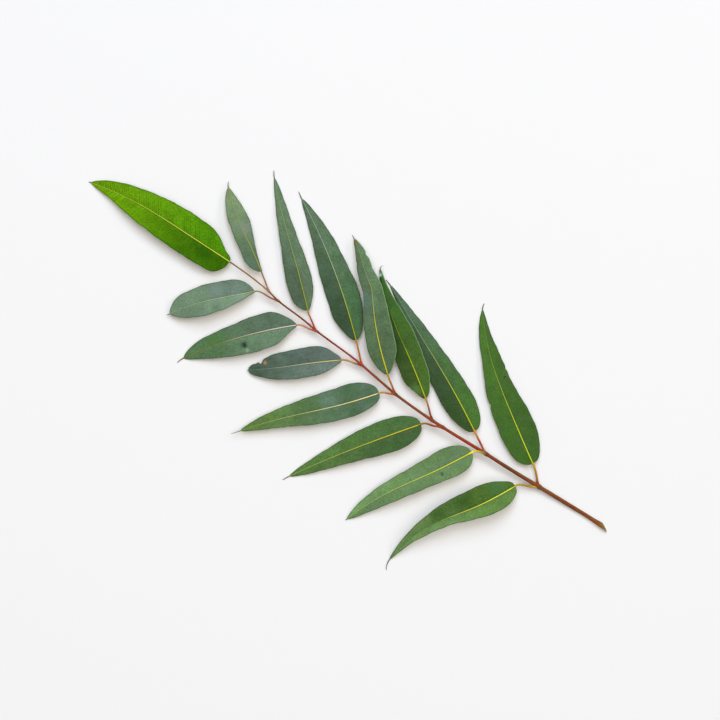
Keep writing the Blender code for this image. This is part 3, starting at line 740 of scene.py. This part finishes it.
# %% The finish of one leaf
def leaf_finish(name, look, seed):
    """One leaf's network: greens with painted light and shade, net, side veins, bloom, midrib, margin,
    specks, brown tip.
    """
    finish, tree, surface = new_finish("leaf_" + name)
    share = read(tree, "share")
    veins = use_group(tree, SIDE_VEINS, Seed=seed)
    rib = use_group(tree, MIDRIB_AND_SHADE, Base_Width=look.get("rib_width", RIB_WIDTH))
    bloom = use_group(tree, WAX_BLOOM, At_Base=look["bloom"][0], At_Tip=look["bloom"][1], Seed=seed)
    green = blend(tree, between(tree, share, 0.1, 0.95), tint(look["base"]), tint(look["tip"]))
    left_half = between(tree, read(tree, "across"), -0.4, 0.4)
    # Painted light and shade: each half of the blade is lightened or darkened for its tilt towards the lamps
    # and for the shadow of a neighbouring leaf, and the mottle below carries this painted light.
    near_base, near_tip = [between(tree, left_half, 0.0, 1.0, 2 - left, left) for left in look["light"]]
    painted_half_light = between(tree, share, 0.2, 0.8, near_base, near_tip)
    mottle = times(tree, between(tree, bloom["Mottle"], 0.3, 0.7, 0.84, 1.16), painted_half_light)
    mottle = times(tree, mottle, between(tree, bloom["Grain"], 0.3, 0.7, 0.68, 1.32))
    green = blend(tree, 1.0, green, spot_of(tree, mottle, mottle, mottle), "MULTIPLY")
    green = lay_over(tree, green, veins["Net"], 0.12, NET_AND_SHADE_TINT)
    green = lay_over(tree, green, veins["Veins"], look.get("veins", 0.09), look.get("vein_tint", VEIN_TINT))
    green = blend(tree, bloom["Mask"], green, tint(BLOOM_TINT))
    # Painted shade beside the midrib, strongest on the end leaf
    green = lay_over(tree, green, rib["Beside"], look.get("beside", 0.25), NET_AND_SHADE_TINT)
    green = lay_over(tree, green, read(tree, "under"), 0.8, UNDER_TINT)
    margin = between(tree, read(tree, "rim"), 0.2, 0.8, 0.55, 0.0)
    margin_tint = blend(tree, left_half, tint(look.get("right_margin", MARGIN_TINT)), tint(MARGIN_TINT))
    green = blend(tree, margin, green, margin_tint)
    rib_tint = blend(tree, between(tree, share, 0.05, 0.85), tint(look["rib"]), tint(look["rib_tip"]))
    green = blend(tree, rib["Rib"], green, rib_tint)
    specks = use_group(tree, SPECKS, Density=0.05, Seed=seed)
    green = lay_over(tree, green, specks["Mask"], 0.8, SPECK_TINT)
    # Blemishes, and patches of painted sheen and painted shade
    for owner, place, aside, radius, code, strength in BLEMISHES_AND_PAINTED_LIGHT:
        if owner == name:
            spot = use_group(tree, BLEMISH_AND_PAINTED_LIGHT, Along=place, Across=aside, Radius=radius)
            green = lay_over(tree, green, spot["Mask"], strength, code)
    brown = between(tree, read(tree, "tail"), -0.02, 0.35)
    green = lay_over(tree, green, brown, look.get("brown", 0.9), look.get("tail", BROWN_TIP))
    rough = step(tree, "ADD", times(tree, bloom["Mask"], 0.25), look.get("rough", 0.48) - 0.06)
    rough = step(tree, "ADD", times(tree, bloom["Mottle"], 0.12), rough)
    normal = relief(tree, veins["Height"], 0.6, VEIN_DEPTH)
    gloss = look.get("gloss", 0.12)
    fill(tree, surface, Base_Color=green, Roughness=rough, Specular_IOR_Level=gloss, Normal=normal)
    return finish


print("a leaf's finish is built by leaf_finish")

# %% [markdown]
# ## Blades
#
# A blade is a thin curved sheet with a thick midrib. It could be cut from a flat picture of its outline,
# but then it would have no gutter, no waves and no veins. Here a grid's rows are moved to the measured
# outline: row by row along the midrib, and column by column out to the margin, closer together near the
# midrib. The same formula adds the gutter along the midrib, low side veins, small waves at the margin
# and its nicks. A Displace modifier buckles the sheet a little, and Solidify gives it its thickness.

# %% The blade's form
BLADE_THICKNESS = 0.42
MARGIN_THICKNESS = 0.26
RIB_THICKNESS = 1.15
TAIL_THICKNESS = 0.40
BLADE_END_HALF_WIDTH = 0.75
TAIL_HALF_WIDTH = 0.42
TAIL_TAPER = 0.6
RIB_SPREAD = 0.55
BASE_POWER = 0.45
TIP_POWER = 0.75
WAVES_ALONG_BLADE = 1.7
ROW_STEP = 0.5
COLUMNS = 36
ROUND_ANGLE = math.radians(50)
SEED_STEP = 3.7
TAIL_ROWS = 14
CROWDING = 1.6
GUTTER_DEPTH = 0.28
GUTTER_WIDTH = 1.5
VEIN_SLANT = 0.62
VEIN_RELIEF = 0.03
WANDER_LENGTHS = (17.0, 7.3, 3.1)
WANDER_SHARE = 0.011
BUCKLE = 0.8
# Nicks in a margin: side, place along the midrib, depth and reach, in millimetres
NICKS = {
    "upper_1": [("left", 52.2, 1.2, 1.2), ("right", 74.0, 0.5, 1.2)],
    "upper_4": [("right", 90.6, 0.9, 1.6), ("right", 80.0, 0.4, 1.8), ("left", 86.0, 0.5, 1.8)],
    "lower_5": [("right", 60.6, 2.3, 1.5), ("right", 64.6, 0.6, 1.3)],
    "lower_4": [("left", 72.5, 0.7, 1.5)],
}


def half_width(leaf, side, share):
    """Half-width of a blade on one side, through its measured stations."""

    def body(v):
        return v ** leaf.get("base_power", BASE_POWER) * (1 - v) ** leaf.get("tip_power", TIP_POWER)

    def ends(v):
        return BLADE_END_HALF_WIDTH + (TAIL_HALF_WIDTH - BLADE_END_HALF_WIDTH) * v

    stations = np.array(STATIONS)
    shares = (np.array(leaf[side]) - ends(stations)) / body(stations)
    return ends(share) + body(share) * smooth_curve(STATIONS, shares, share)


def margin_wander(places, seed):
    """Small irregular waves of a margin, in millimetres."""
    rng = np.random.default_rng(seed)
    total = np.zeros(len(places))
    for length in WANDER_LENGTHS:
        total += WANDER_SHARE * length**0.9 * np.sin(2 * np.pi * (places / length + rng.random()))
    return total


def vein_number(along, out, sign, seed):
    """Counts the side veins along a blade; they wander a little, and those of the two halves alternate."""
    start = along - out * VEIN_SLANT
    phase = 1.7 * seed + sign
    wander = 0.45 * np.sin(start / 6.1 + phase) + 0.25 * np.sin(start / 2.3 + 2 * phase)
    return (start + wander + 0.35 * np.sin(out / 2.9 + start / 4.7)) / VEIN_SPACING + 0.21 * sign


print("rows every", ROW_STEP, "mm and", COLUMNS, "columns")

# %% Making a blade


def blade_form(name, t, s):
    """Places of a blade's points from their row t, 0 to 1, and column s, -1 to 1, and what is kept."""
    leaf = LEAVES[name]
    seed = list(LEAVES).index(name)
    rows = round(leaf["length"] / ROW_STEP)
    tail_start = rows / (rows + TAIL_ROWS)
    even = np.clip(t / tail_start, 0, 1)
    share = 0.65 * even + 0.35 * (1 - np.cos(np.pi * even)) / 2
    tail = np.clip((t - tail_start) / (1 - tail_start), 0, 1)
    sign = np.where(s >= 0, 1.0, -1.0)
    side_left = s >= 0
    outward = np.abs(s) ** CROWDING
    along = share * leaf["length"]
    width = np.where(side_left, half_width(leaf, "left", share), half_width(leaf, "right", share))
    outer = fade(outward, 0.5, 1.0)
    calm = np.sin(np.pi * share) ** 0.5
    wander = np.where(side_left, margin_wander(along, seed), margin_wander(along, seed + 100)) * calm
    for side, place, depth, reach in NICKS.get(name, []):
        on_side = side_left if side == "left" else ~side_left
        wander = wander - on_side * depth * np.exp(-(((along - place) / reach) ** 2))
    out = outward * width + wander * outer
    lift = np.where(side_left, leaf["lift"][0], leaf["lift"][1])
    phase = np.where(side_left, 0.15, 0.6)
    wave = leaf["wave"] * outward**2 * np.sin(np.pi * share)
    height = lift * out + wave * np.sin(2 * np.pi * (WAVES_ALONG_BLADE * share + phase))
    height -= GUTTER_DEPTH * np.exp(-((out / GUTTER_WIDTH) ** 2)) * calm
    vein = vein_number(along, out, sign, seed)
    profile = 1 - fade(np.abs(vein - np.round(vein)) * VEIN_SPACING, 0.1, 0.7)
    height += VEIN_RELIEF * profile * fade(width - out, 0.4, 1.6) * fade(out, 0.5, 1.5) * calm
    forward = midrib_direction(leaf, share)
    places = midrib(leaf, share) + leftwards(forward) * (sign * out)[:, None]
    places[:, 2] += height
    in_tail = tail > 0
    turn = np.arctan2(forward[:, 1], forward[:, 0]) + math.radians(leaf["tail_turn"]) * tail
    tail_forward = np.stack([np.cos(turn), np.sin(turn), np.zeros(len(t))], -1)
    tail_half = TAIL_HALF_WIDTH * (1 - TAIL_TAPER * tail)
    tail_places = midrib(leaf, np.ones(len(t))) + tail_forward * (leaf["tail"] * tail)[:, None]
    tail_places += leftwards(tail_forward) * (sign * outward * tail_half)[:, None]
    places = np.where(in_tail[:, None], tail_places, places)
    rim = np.where(in_tail, tail_half * (1 - outward), width - outward * width)
    kept = {
        "along": along + leaf["tail"] * tail,
        "across": sign * np.where(in_tail, outward * tail_half, out),
        "rim": rim,
        "vein": vein,
        "share": share,
        "tail": tail,
    }
    rib = RIB_THICKNESS + (BLADE_THICKNESS - RIB_THICKNESS) * share
    sheet = MARGIN_THICKNESS + (BLADE_THICKNESS - MARGIN_THICKNESS) * fade(rim, 0.0, 1.2)
    thickness = sheet + np.maximum(rib - sheet, 0) * np.exp(-((out / RIB_SPREAD) ** 2))
    thickness = np.where(in_tail, TAIL_THICKNESS, thickness)
    return places, kept, thickness, calm * (1 - in_tail)


def make_blade(name):
    leaf = LEAVES[name]
    rows = round(leaf["length"] / ROW_STEP) + TAIL_ROWS
    deselect_all()
    bpy.ops.mesh.primitive_grid_add(x_subdivisions=rows, y_subdivisions=COLUMNS, size=2)
    blade = bpy.context.object
    grid = points_of(blade)
    places, kept, thickness, loose = blade_form(name, (grid[:, 0] + 1) / 2, grid[:, 1])
    place_points(blade, places)
    keep_values(blade, **kept)
    weigh(blade, "loose", loose)
    weigh(blade, "thickness", thickness / RIB_THICKNESS)
    buckle = blade.modifiers.new("Buckle", "DISPLACE")
    buckle.texture = BUCKLES
    buckle.texture_coords = "LOCAL"
    buckle.strength = BUCKLE * MM
    buckle.vertex_group = "loose"
    thicken = blade.modifiers.new("Thickness", "SOLIDIFY")
    thicken.thickness = RIB_THICKNESS * MM
    thicken.offset = 0
    thicken.vertex_group = "thickness"
    apply_modifiers(blade)
    bpy.ops.object.shade_smooth_by_angle(angle=ROUND_ANGLE)
    normals = np.empty(len(blade.data.polygons) * 3)
    blade.data.polygons.foreach_get("normal", normals)
    under = blade.data.attributes.new("under", "FLOAT", "FACE")
    under.data.foreach_set("value", (normals.reshape(-1, 3)[:, 2] < -0.2).astype(np.float32))
    look = LOOKS[name]
    finish = leaf_finish(name, look, SEED_STEP * list(LEAVES).index(name))
    dress(blade, "blade_" + name, "leaf_" + name, look["slot"], finish)
    return blade


blades = [make_blade(name) for name in LEAVES]
print("blades:", len(blades), "with", sum(len(b.data.polygons) for b in blades), "faces")

# %% [markdown]
# ## Rods that follow a path
#
# The stem and the stalks are round and taper. A curve with a bevel would do, but its rings can't swell
# unevenly or carry values for the finish. So a cylinder is added, its long edges are subdivided to rings,
# and each ring is moved to its place on the path.

# %% Making a rod


def add_rings(rod, counts):
    """Subdivides the long edges of a cylinder, once for each count."""
    bpy.ops.object.mode_set(mode="EDIT")
    bpy.ops.mesh.select_mode(type="EDGE")
    for cuts in counts:
        bpy.ops.mesh.select_all(action="DESELECT")
        shape = bmesh.from_edit_mesh(rod.data)
        for edge in shape.edges:
            first, second = edge.verts
            edge.select = abs(first.co.z - second.co.z) > 1e-4
        bmesh.update_edit_mesh(rod.data)
        bpy.ops.mesh.subdivide(number_cuts=cuts)
    bpy.ops.object.mode_set(mode="OBJECT")


def new_rod(sides, counts):
    """A cylinder with many rings, and the share of the length, the angle and the radius of its points."""
    deselect_all()
    bpy.ops.mesh.primitive_cylinder_add(vertices=sides, radius=1, depth=1, end_fill_type="NGON")
    rod = bpy.context.object
    add_rings(rod, counts)
    x, y, z = points_of(rod).T
    return rod, z + 0.5, np.arctan2(y, x), np.hypot(x, y)


def wrap(centres, radius, angle):
    """Places round a path: centres and radius for each point, angle 90 degrees is up."""
    sideways = (radius * np.cos(angle))[:, None] * centres["side"]
    return centres["place"] + sideways + (radius * np.sin(angle))[:, None] * centres["top"]


def path_frame(place, direction):
    """Sideways and upward directions along a path that is nearly level."""
    side = leftwards(direction)
    return {"place": place, "side": side, "top": np.cross(side, direction)}


print("rods are cylinders with moved rings")

# %% [markdown]
# ## Stem
#
# The stem is a woody twig, reddish where light reached it. It swells at each node, has faint ridges
# along it and small bumps, and its thick end was cut off at a slant, so that the wood and the pith show.

# %% The stem's form
STEM_SIDES = 28
STEM_RINGS = (24, 20)
RIDGES = 7
RIDGE_HEIGHT = 0.018
BUMP_HEIGHT = 0.012
NODE_MARK = 1.7
STEM_END = STEM[-1, 0]
NODE_PLACES = sorted({leaf["joint"] for leaf in LEAVES.values()} - {STEM_END})
# Steps of the cut face from the bark inwards: width and height, in millimetres
CUT_STEPS = ((0.22, -0.04), (1.1, 0.06), (0.15, -0.12))
SHARP_ANGLE = math.radians(40)


def make_stem(finish, cut_finish):
    stem, share, angle, from_axis = new_rod(STEM_SIDES, STEM_RINGS)
    x = STEM[0, 0] + (STEM_END - STEM[0, 0]) * share
    nearest = np.abs(x[:, None] - np.array(NODE_PLACES)[None, :]).min(1)
    swelling = 1 + NODE_SWELLING * np.exp(-((nearest / NODE_LENGTH) ** 2) * 2)
    ridges = 1 + RIDGE_HEIGHT * np.sin(RIDGES * angle + 0.05 * x) + BUMP_HEIGHT * np.sin(x / 1.9 + 2 * angle)
    radius = stem_radius(x) * swelling * ridges
    places = wrap(path_frame(stem_centre(x), stem_direction(x)), radius * from_axis, angle)
    places[:, 2] = np.maximum(places[:, 2], 0.0)
    place_points(stem, places)
    keep_values(stem, along=x, turn=np.cos(angle), node=np.exp(-((nearest / NODE_MARK) ** 2)))
    dress(stem, "twig", "stem", "stem", finish, cut_finish)
    bpy.ops.object.mode_set(mode="EDIT")
    bpy.ops.mesh.select_mode(type="FACE")
    bpy.ops.mesh.select_all(action="SELECT")
    bpy.ops.mesh.bisect(
        plane_co=(np.array(CUT_CENTRE) - MIDDLE) * MM, plane_no=CUT_NORMAL, use_fill=True, clear_outer=True
    )
    shape = bmesh.from_edit_mesh(stem.data)
    normal = Vector(CUT_NORMAL).normalized()
    for face in shape.faces:
        face.select = face.normal.dot(normal) > 0.99 and len(face.verts) > 6
        if face.select:
            face.material_index = 1
    bmesh.update_edit_mesh(stem.data)
    for width, height in CUT_STEPS:
        bpy.ops.mesh.inset(thickness=width * MM, depth=height * MM)
    bpy.ops.object.mode_set(mode="OBJECT")
    bpy.ops.object.shade_smooth_by_angle(angle=SHARP_ANGLE)
    return stem


# %% The finish of the bark and of the cut
# Tints of the bark along the stem: x in millimetres and sRGB code
BARK_TINTS = (
    (0, "8C7E1C"), (6, "924613"), (30, "7C2C0D"), (60, "8C4418"), (84, "682508"), (122, "B01807"),
    (162, "96400C"), (194, "7A380B"), (220, "B82420"), (258, "961C10"), (288, "883718"), (302, "6A330E"),
    (316, "CFA752"),
)
OLIVE_SIDE_TINT = "7A5410"
STREAK_TINT = "46200C"
PATCH_TINT = "8A6A2C"
NODE_TINT = "5C3A1A"
PORE_TINT = "A8875C"
PITH_TINT = "6E6A18"
WOOD_TINT = "A09C34"
GREEN_RING_TINT = "5E5C10"
BARK_GLOSS = 0.2


def bark_finish():
    finish, tree, surface = new_finish("bark")
    along = read(tree, "along")
    turn = read(tree, "turn")
    length = BARK_TINTS[-1][0]
    ramp = add_node(tree, "ValToRGB", Fac=step(tree, "DIVIDE", along, length))
    marks = ramp.color_ramp.elements
    for index, (x, code) in enumerate(BARK_TINTS):
        mark = marks[index] if index < 2 else marks.new(1.0)
        mark.position = x / length
        mark.color = tint(code)
    streaks = noise(tree, spot_of(tree, times(tree, along, 0.12), times(tree, turn, 2.2)), 1.6, 4.0, 0.7)
    patches = noise(tree, spot_of(tree, along, turn), 0.35, 3.0, 0.6)
    olive_side = between(tree, turn, -0.7, 0.2, 0.8, 0.0)
    bark = blend(tree, olive_side, ramp.outputs["Color"], tint(OLIVE_SIDE_TINT))
    bark = blend(tree, between(tree, streaks, 0.35, 0.7, 0.0, 0.55), bark, tint(STREAK_TINT))
    bark = blend(tree, between(tree, patches, 0.5, 0.75, 0.0, 0.35), bark, tint(PATCH_TINT))
    bark = lay_over(tree, bark, read(tree, "node"), 0.35, NODE_TINT)
    place = spot_of(tree, times(tree, along, 0.6), times(tree, turn, 1.6))
    cells = add_node(tree, "TexVoronoi", Vector=place, Scale=1.1)
    pores = between(tree, cells.outputs["Distance"], 0.12, 0.2, 0.3, 0.0)
    bark = blend(tree, pores, bark, tint(PORE_TINT))
    rough = between(tree, streaks, 0.3, 0.7, 0.42, 0.62)
    normal = relief(tree, step(tree, "ADD", streaks, pores), 0.7, 0.1 * MM)
    fill(tree, surface, Base_Color=bark, Roughness=rough, Specular_IOR_Level=BARK_GLOSS, Normal=normal)
    return finish


def cut_wood_finish():
    """Pale wood with a green ring under the bark and a brown pith."""
    finish, tree, surface = new_finish("cut_wood")
    where = add_node(tree, "TexCoord").outputs["Object"]
    away = add_node(tree, "VectorMath")
    away.operation = "DISTANCE"
    feed(tree, away.inputs[0], where)
    feed(tree, away.inputs[1], (np.array(CUT_CENTRE) - MIDDLE) * MM)
    grain = noise(tree, where, 2600.0, 3.0, 0.6)
    rings = step(tree, "ADD", times(tree, away.outputs["Value"], 1 / MM), times(tree, grain, 0.5))
    wood = blend(tree, between(tree, rings, 0.5, 0.8), tint(PITH_TINT), tint(WOOD_TINT))
    wood = blend(tree, between(tree, rings, 1.9, 2.4), wood, tint(GREEN_RING_TINT))
    fill(tree, surface, Base_Color=wood, Roughness=between(tree, grain, 0.3, 0.7, 0.6, 0.8))
    return finish


stem = make_stem(bark_finish(), cut_wood_finish())
print("stem:", len(stem.data.polygons), "faces")

# %% [markdown]
# ## Stalks
#
# A stalk leaves the stem from a small swollen cushion, bends outwards and runs into the midrib. It is
# orange red at the stem and yellow at the blade. Each is a rod again: its foot is sunk in the stem and
# flares there, and its far end follows the midrib for a few millimetres and thins out into it.

# %% The stalk's form
STALK_SIDES = 16
STALK_RINGS = (40,)
STALK_LEAST_RADIUS = 0.42
STALK_RADIUS_SHARE = 0.3
STALK_FLARE = 0.55
FLARE_LENGTH = 1.7
INTO_RIB = 7.0
CUSHION_OUT = 0.6
CUSHION_MOST_LEAN = 2.8
STALK_FOOT = 0.9
STALK_TAPER = 0.12
TAPER_IN_RIB = 0.62


def cushion_end(leaf):
    """Where the leaf cushion on the stem ends, and the direction that it points in."""
    x = float(leaf["joint"])
    joint = stem_centre(np.array(x))
    along = stem_direction(x)
    chord = np.array(leaf["base"]) - joint
    outward = chord - along * chord.dot(along)
    lean = leaf.get("lean", min(chord.dot(along) / np.linalg.norm(outward), CUSHION_MOST_LEAN))
    outward = unit(unit(outward) + np.array([0, 0, leaf.get("rise", 0)]))
    direction = unit(outward + along * lean)
    reach = float(stem_radius(np.array(x))) * (1 + NODE_SWELLING) + CUSHION_OUT
    return joint, joint + direction * (reach / direction.dot(outward)), direction


def stalk_path(name, leaf):
    """A dense list of points from inside the stem to a few millimetres along the midrib."""
    if name == "terminal":
        start = stem_centre(np.array(STEM_END))
        away = unit(start - stem_centre(np.array(STEM_END - 2)))
        inner = start - away * 3
    else:
        inner, start, away = cushion_end(leaf)
    into = midrib_direction(leaf, np.zeros(1))[0]
    end = midrib(leaf, np.zeros(1))[0]
    first = start + away * STALK_FOOT
    last = end - into * STALK_FOOT
    reach = np.linalg.norm(last - first) / 3
    t = np.linspace(0, 1, 40)[:, None]
    bend = (1 - t) ** 3 * first + 3 * t * (1 - t) ** 2 * (first + away * reach)
    bend = bend + 3 * t**2 * (1 - t) * (last - into * reach) + t**3 * last
    into_rib = midrib(leaf, np.linspace(0, INTO_RIB / leaf["length"], 12))
    return np.vstack([inner, start, bend, into_rib])


def make_stalk(name, finish):
    leaf = LEAVES[name]
    rod, share, angle, from_axis = new_rod(STALK_SIDES, STALK_RINGS)
    path = stalk_path(name, leaf)
    run = np.concatenate([[0], np.cumsum(np.linalg.norm(np.diff(path, axis=0), axis=1))])
    total = run[-1]
    at = share * total
    place, ahead, behind = [
        np.stack([np.interp(at + shift, run, path[:, k]) for k in range(3)], -1) for shift in (0, 0.4, -0.4)
    ]
    stem_here = float(stem_radius(np.array(float(leaf["joint"]))))
    thick = STALK_LEAST_RADIUS + STALK_RADIUS_SHARE * stem_here
    past_blade = np.clip((at - (total - INTO_RIB)) / INTO_RIB, 0, 1)
    radius = thick * (1 - STALK_TAPER * share) * (1 - TAPER_IN_RIB * past_blade)
    if name != "terminal":
        from_stem = np.maximum(at - stem_here, 0)
        radius = radius * (1 + STALK_FLARE * np.exp(-((from_stem / FLARE_LENGTH) ** 2)))
    radius = radius * from_axis * (1 + 0.03 * np.sin(5 * angle + 0.6 * at))
    places = wrap(path_frame(place, unit(ahead - behind)), radius, angle)
    places[:, 2] -= 0.1 * past_blade
    place_points(rod, places)
    share_out = np.clip(at / (total - INTO_RIB), 0, 1)
    keep_values(rod, share=share_out, along=at, turn=np.cos(angle), into=past_blade)
    bpy.ops.object.shade_smooth_by_angle(angle=ROUND_ANGLE)
    dress(rod, "petiole_" + name, "stalk_" + name, "stalk", finish)
    return rod


# %% The finish of the stalks
STALK_STREAK_TINT = "6E3A1C"
# Tints of each stalk: at the stem, half way and at the blade
STALK_TINTS = {
    "terminal": ("A07030", "926311", "7B6005"),
    "upper_1": ("901503", "AA7803", "C09E04"),
    "upper_2": ("B75B4D", "9C370B", "D78B0E"),
    "upper_3": ("850D03", "964A12", "B88423"),
    "upper_4": ("AA390B", "A95E03", "BD920D"),
    "upper_5": ("C33A0B", "A96C07", "C88404"),
    "upper_6": ("B12B0B", "A8360B", "B17D14"),
    "upper_7": ("AA7259", "9E6B31", "816C24"),
    "lower_1": ("D2B42D", "A4781B", "B5A104"),
    "lower_2": ("5F6105", "ADA138", "FFF10D"),
    "lower_3": ("A8510F", "8F3302", "8B6B04"),
    "lower_4": ("A64C17", "BC6805", "B8900C"),
    "lower_5": ("791A0B", "B1863A", "B97D0C"),
    "lower_6": ("98544C", "C36F37", "CD812F"),
    "lower_7": ("884B19", "9F4B10", "948F1C"),
}


def stalk_finish(name, codes):
    finish, tree, surface = new_finish("stalk_" + name)
    share = read(tree, "share")
    skin = blend(tree, between(tree, share, 0.05, 0.5), tint(codes[0]), tint(codes[1]))
    skin = blend(tree, between(tree, share, 0.45, 0.98), skin, tint(codes[2]))
    skin = blend(tree, read(tree, "into"), skin, tint(LOOKS[name]["rib"]))
    place = spot_of(tree, times(tree, read(tree, "along"), 0.25), read(tree, "turn"))
    streaks = noise(tree, place, 2.2, 3.0, 0.6)
    skin = blend(tree, between(tree, streaks, 0.42, 0.75, 0.0, 0.45), skin, tint(STALK_STREAK_TINT))
    rough = between(tree, streaks, 0.3, 0.7, 0.38, 0.55)
    normal = relief(tree, streaks, 0.5, VEIN_DEPTH)
    fill(tree, surface, Base_Color=skin, Roughness=rough, Specular_IOR_Level=BARK_GLOSS, Normal=normal)
    return finish


stalks = [make_stalk(name, stalk_finish(name, STALK_TINTS[name])) for name in LEAVES]
print("stalks:", len(stalks), "with", len(stalks[0].data.polygons), "faces each")

# %% [markdown]
# ## Count the faces
#
# The finer pieces have to stay as large as the CAD model. The last line prints how many faces they have
# in all.

# %% Count the faces
print("faces in all:", sum(len(p.data.polygons) for p in [*blades, *stalks, stem]))
